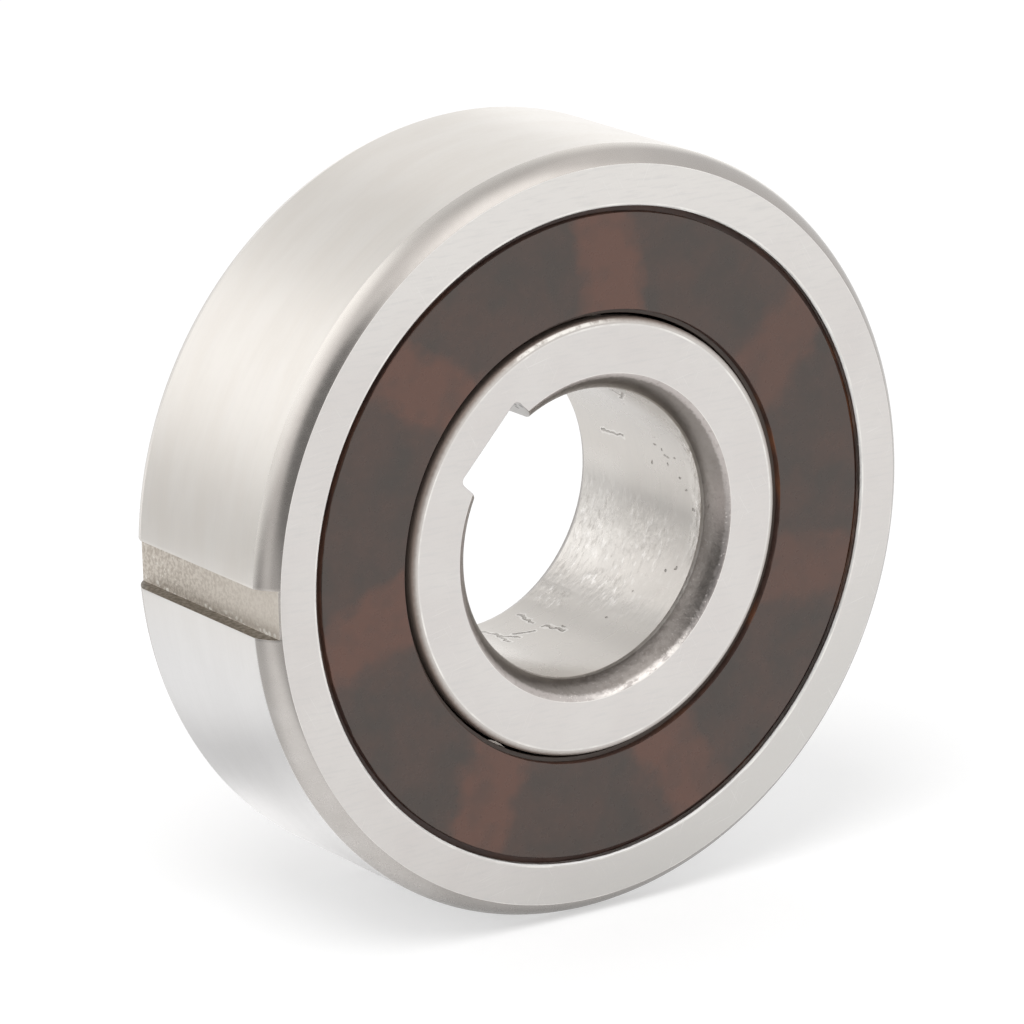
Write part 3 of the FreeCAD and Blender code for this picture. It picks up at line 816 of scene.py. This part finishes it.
class Keyway:
    """Slot along the axis. outward is 1 for a slot in the outside and -1 for one in a bore."""

    def __init__(self, angle, half_width, floor, fillet, outward):
        self.angle = angle
        self.half_width = half_width
        self.floor = floor
        self.fillet = fillet
        self.outward = outward

    def floor_at(self, across):
        over = abs(across) - (self.half_width - self.fillet)
        if self.fillet == 0 or over <= 0:
            return self.floor
        return self.floor + self.outward * (self.fillet - math.sqrt(max(0.0, self.fillet ** 2 - over ** 2)))

    def cut(self, across, height):
        if self.outward > 0:
            return min(height, self.floor_at(across))
        return max(height, self.floor_at(across))

    def places_across(self):
        """Places of the columns across the slot, close together in its fillets."""
        flat = self.half_width - self.fillet
        places = [flat * (2 * k / KEYWAY_COLUMNS - 1) for k in range(KEYWAY_COLUMNS + 1)]
        bends = [k / ARC_STEPS * math.pi / 2 for k in range(1, ARC_STEPS + 1)] if self.fillet else []
        right = [flat + self.fillet * math.sin(bend) for bend in bends]
        return [-place for place in reversed(right)] + places + right


def ring_columns(keyway, least_radius):
    """Columns round a ring: a function from radius to angle past the keyway, and whether it is in it."""
    if keyway is None:
        count = round(2 * math.pi / COLUMN_STEP)
        return [(lambda radius, angle=2 * math.pi * k / count: angle, False) for k in range(count)]
    half = keyway.half_width
    past = math.asin(half / least_radius) + COLUMN_STEP

    def plane(across):
        return lambda radius: math.asin(across / radius)

    def blended(share, side):
        return lambda radius: side * ((1 - share) * math.asin(half / radius) + share * past)

    columns = [(plane(across), True) for across in keyway.places_across()]
    columns.append((plane(half), False))
    columns += [(blended(k / BLEND_COLUMNS, 1), False) for k in range(1, BLEND_COLUMNS)]
    open_angle = 2 * math.pi - 2 * past
    count = round(open_angle / COLUMN_STEP)
    for k in range(count + 1):
        columns.append((lambda radius, angle=past + open_angle * k / count: angle, False))
    columns += [(blended(k / BLEND_COLUMNS, -1), False) for k in range(BLEND_COLUMNS - 1, 0, -1)]
    columns.append((plane(-half), False))
    return columns


def ring_mesh(name, section, keyway, finishes):
    """Ring about the axis from a closed section of (radius, y, finish of the stretch that follows)."""
    names = list(finishes)
    columns = ring_columns(keyway, min(point[0] for point in section))
    turn = keyway.angle if keyway else 0.0
    shape = bmesh.new()
    rows = []
    for angle_at, in_slot in columns:
        row = []
        for radius, y, _ in section:
            angle = angle_at(radius)
            across, height = radius * math.sin(angle), radius * math.cos(angle)
            uncut = height
            if in_slot:
                height = keyway.cut(across, height)
            x = height * math.cos(turn) - across * math.sin(turn)
            z = height * math.sin(turn) + across * math.cos(turn)
            row.append((shape.verts.new((x, y, z)), abs(height - uncut) > LEAST_CUT))
        rows.append((row, in_slot))
    for j, (row, in_slot) in enumerate(rows):
        following, next_in_slot = rows[(j + 1) % len(rows)]
        for k, (_, _, finish) in enumerate(section):
            after = (k + 1) % len(section)
            corners = (row[k], following[k], following[after], row[after])
            face = shape.faces.new([corner[0] for corner in corners])
            if in_slot != next_in_slot:
                finish = "keyway_wall"
            elif in_slot and all(corner[1] for corner in corners):
                finish = "keyway_floor"
            face.material_index = names.index(finish)
    bmesh.ops.remove_doubles(shape, verts=shape.verts, dist=WELD_DISTANCE)
    bmesh.ops.dissolve_degenerate(shape, dist=WELD_DISTANCE, edges=shape.edges)
    bmesh.ops.recalc_face_normals(shape, faces=shape.faces)
    inner_edges = [edge for edge in shape.edges if len(edge.link_faces) == 2]
    sharp = [edge for edge in inner_edges if edge.calc_face_angle() > SHARP_ANGLE]
    bmesh.ops.bevel(shape, geom=sharp, offset=BROKEN_EDGE, offset_type="OFFSET",
                    segments=BROKEN_EDGE_SEGMENTS, profile=ROUND_PROFILE,
                    affect="EDGES", clamp_overlap=True, material=-1)
    for face in shape.faces:
        face.smooth = True
    mesh = bpy.data.meshes.new(name)
    shape.to_mesh(mesh)
    shape.free()
    for finish in names:
        mesh.materials.append(finishes[finish])
    return mesh


def add_ring(name, node, body, mesh):
    """Piece that stands for a node of the frame and rides on a body."""
    piece = bpy.data.objects.new(name, mesh)
    bpy.context.scene.collection.objects.link(piece)
    normals = piece.modifiers.new("normals", "WEIGHTED_NORMAL")
    normals.mode = "FACE_AREA"
    normals.weight = 100
    normals.keep_sharp = False
    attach(piece, body)
    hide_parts(node)


def groove_points(bottom, side, finish):
    """Half of a ball groove's arc, from its bottom at mid width to the land on the front side."""
    half_angle = math.acos((GROOVE_R - GROOVE_DEPTH) / GROOVE_R)
    centre = bottom + side * GROOVE_R
    points = []
    for k in range(ARC_STEPS):
        angle = half_angle * k / ARC_STEPS
        points.append((centre - side * GROOVE_R * math.cos(angle), -GROOVE_R * math.sin(angle), finish))
    land = bottom + side * GROOVE_DEPTH
    points.append((land, -GROOVE_R * math.sin(half_angle), finish))
    return points


def chamfer_points(side_r, radial, axial, outward, finish):
    """Crowned chamfer from a face to the outside, where outward is 1, or to a bore, without its end."""
    slant = math.hypot(radial, axial)
    radius = (slant ** 2 / 4 + CHAMFER_CROWN ** 2) / (2 * CHAMFER_CROWN)
    half_turn = math.asin(slant / 2 / radius)
    points = []
    for k in range(ARC_STEPS):
        angle = half_turn * (2 * k / ARC_STEPS - 1)
        along = 0.5 + radius * math.sin(angle) / slant
        crown = radius * (math.cos(angle) - math.cos(half_turn))
        place_r = side_r - outward * (radial * (1 - along) - crown * axial / slant)
        points.append((place_r, -(HALF_WIDTH - axial * along + crown * radial / slant), finish))
    return points


def shoulder_points(finish):
    """Quarter round from the inner ring's track to its face, without its last point."""
    centre_r, centre_y = INNER_TRACK_R - SHOULDER_ROUNDING, HALF_WIDTH - SHOULDER_ROUNDING
    points = []
    for k in range(ARC_STEPS):
        angle = math.pi / 2 * k / ARC_STEPS
        points.append((centre_r + SHOULDER_ROUNDING * math.cos(angle),
                       -(centre_y + SHOULDER_ROUNDING * math.sin(angle)), finish))
    return points


def with_mirror(front):
    """Closed section from its front half, which runs between its two points at mid width. The back half
    runs the other way, so each of its points takes the finish of the front's point before its own."""
    back = [(front[k][0], -front[k][1], front[k - 1][2]) for k in range(len(front) - 1, 0, -1)]
    return front[:-1] + back


def outer_ring_section():
    snap_top = SHIELD_INSIDE + SHIELD_FLANGE_THICKNESS + SHIELD_SNAP_CLEARANCE
    front = groove_points(OUTER_TRACK_R + GROOVE_DEPTH, -1, "race")
    front += [
        (OUTER_TRACK_R, -SHIELD_INSIDE, "recess"),
        (SNAP_R, -SHIELD_INSIDE, "recess"),
        (SNAP_R, -snap_top, "recess"),
        (RECESS_R, -snap_top, "recess"),
        (RECESS_R, -(HALF_WIDTH - RECESS_CHAMFER), "recess"),
        (RECESS_R + RECESS_CHAMFER, -HALF_WIDTH, "face"),
    ]
    front += chamfer_points(OUTER_R, OUTER_CORNER_RADIAL, HALF_WIDTH - OUTER_SEAT_HALF, 1, "corner")
    front += [(OUTER_R, -OUTER_SEAT_HALF, "outside"), (OUTER_R, 0.0, "outside")]
    return with_mirror(front)


def inner_ring_section():
    front = groove_points(INNER_TRACK_R - GROOVE_DEPTH, 1, "race")
    front.append((INNER_TRACK_R, -SHIELD_INSIDE, "shoulder"))
    front += shoulder_points("shoulder")
    front.append((INNER_TRACK_R - SHOULDER_ROUNDING, -HALF_WIDTH, "face"))
    front += chamfer_points(BORE_R, BORE_CHAMFER_RADIAL, HALF_WIDTH - BORE_SEAT_HALF, -1, "chamfer")
    front += [(BORE_R, -BORE_SEAT_HALF, "bore"), (BORE_R, 0.0, "bore")]
    return with_mirror(front)


def shield_section(side):
    """Section of a shield; side is -1 at the front and 1 at the back."""
    lip_r = INNER_TRACK_R + SHIELD_LIP_GAP
    inner_r = INNER_TRACK_R + SHIELD_INNER_GAP
    disc_r = RECESS_R - SHIELD_RIM_GAP
    flange_r = SNAP_R - SHIELD_SNAP_CLEARANCE
    flange_top = SHIELD_INSIDE + SHIELD_FLANGE_THICKNESS
    edge = SHIELD_OUTSIDE - SHIELD_EDGE_CHAMFER
    points = [
        (lip_r, SHIELD_INSIDE, "lip"), (lip_r, flange_top, "lip"), (inner_r, flange_top, "cut_edge"),
        (inner_r, edge, "cut_edge"), (inner_r + SHIELD_EDGE_CHAMFER, SHIELD_OUTSIDE, "plastic"),
        (disc_r - SHIELD_EDGE_CHAMFER, SHIELD_OUTSIDE, "plastic"), (disc_r, edge, "cut_edge"),
        (disc_r, flange_top, "cut_edge"), (flange_r, flange_top, "cut_edge"),
        (flange_r, SHIELD_INSIDE, "plastic"),
    ]
    return [(radius, side * axial, finish) for radius, axial, finish in points]


def make_rings():
    face = steel("ring_face", ground_face)
    corner = steel("ring_corner", turned_corner_with_shade)
    race = plain_finish("ring_race", (0.7, 0.69, 0.68), 0.15, 1.0, 6.0, 0.001)
    outer = {
        "face": face,
        "corner": corner,
        "race": race,
        "recess": steel("ring_recess", rough_recess),
        "outside": steel("ring_outside", ground_outside),
        "keyway_floor": steel("keyway_floor", sawn_keyway),
        "keyway_wall": steel("keyway_wall", sawn_wall),
    }
    inner = {
        "face": face,
        "race": race,
        "shoulder": steel("ring_shoulder", shoulder_shade_and_highlight, 0.35),
        "bore": steel("ring_bore", bore_wall),
        "chamfer": steel("ring_chamfer", bore_chamfer),
        "keyway_floor": steel("shaft_keyway", broached_keyway),
        "keyway_wall": steel("shaft_keyway_wall", broached_keyway),
    }
    outer_key = Keyway(OUTER_KEY_ANGLE, OUTER_KEY_HALF_WIDTH, OUTER_KEY_FLOOR, 0.0, 1)
    inner_key = Keyway(INNER_KEY_ANGLE, INNER_KEY_HALF_WIDTH, INNER_KEY_FLOOR, INNER_KEY_FILLET, -1)
    add_ring("outer_ring_steel", "outer_ring", "outer_ring",
             ring_mesh("outer_ring_steel", outer_ring_section(), outer_key, outer))
    add_ring("inner_ring_steel", "inner_ring", "inner_ring",
             ring_mesh("inner_ring_steel", inner_ring_section(), inner_key, inner))


def make_shields():
    plastic = {
        "plastic": make_finish("shield_plastic", shield_plastic, IOR=PLASTIC_IOR),
        "cut_edge": make_finish("shield_edge", shield_edge, IOR=PLASTIC_IOR),
        "lip": plain_finish("shield_lip", SHIELD_LIP_COLOUR, 0.45, 0.0, 4.0, 0.01),
    }
    for name, side in (("front", -1), ("back", 1)):
        mesh = ring_mesh(name + "_shield_plastic", shield_section(side), None, plastic)
        add_ring(name + "_shield_plastic", name + "_shield", "outer_ring", mesh)


def finish_inner_pieces():
    finishes = {
        "cage": plain_finish("cage_plastic", (0.05, 0.042, 0.038), 0.5, 0.0, 3.0, 0.01),
        "ball": plain_finish("ball_steel", (0.8, 0.8, 0.8), 0.08, 1.0, 2.0, 0.0005),
        "sprag": plain_finish("sprag_steel", (0.66, 0.60, 0.55), 0.3, 1.0, 6.0, 0.004),
        "spring": plain_finish("spring_steel", (0.6, 0.58, 0.55), 0.3, 1.0, 6.0, 0.002),
    }
    for name, node in frame["nodes"].items():
        kind = name.split("_")[0]
        if kind in finishes:
            node.material_slots[0].link = "OBJECT"
            node.material_slots[0].material = finishes[kind]


make_camera()
make_world()
make_floor()
make_lamp()
make_rings()
make_shields()
finish_inner_pieces()
bpy.context.scene.view_settings.view_transform = "Standard"
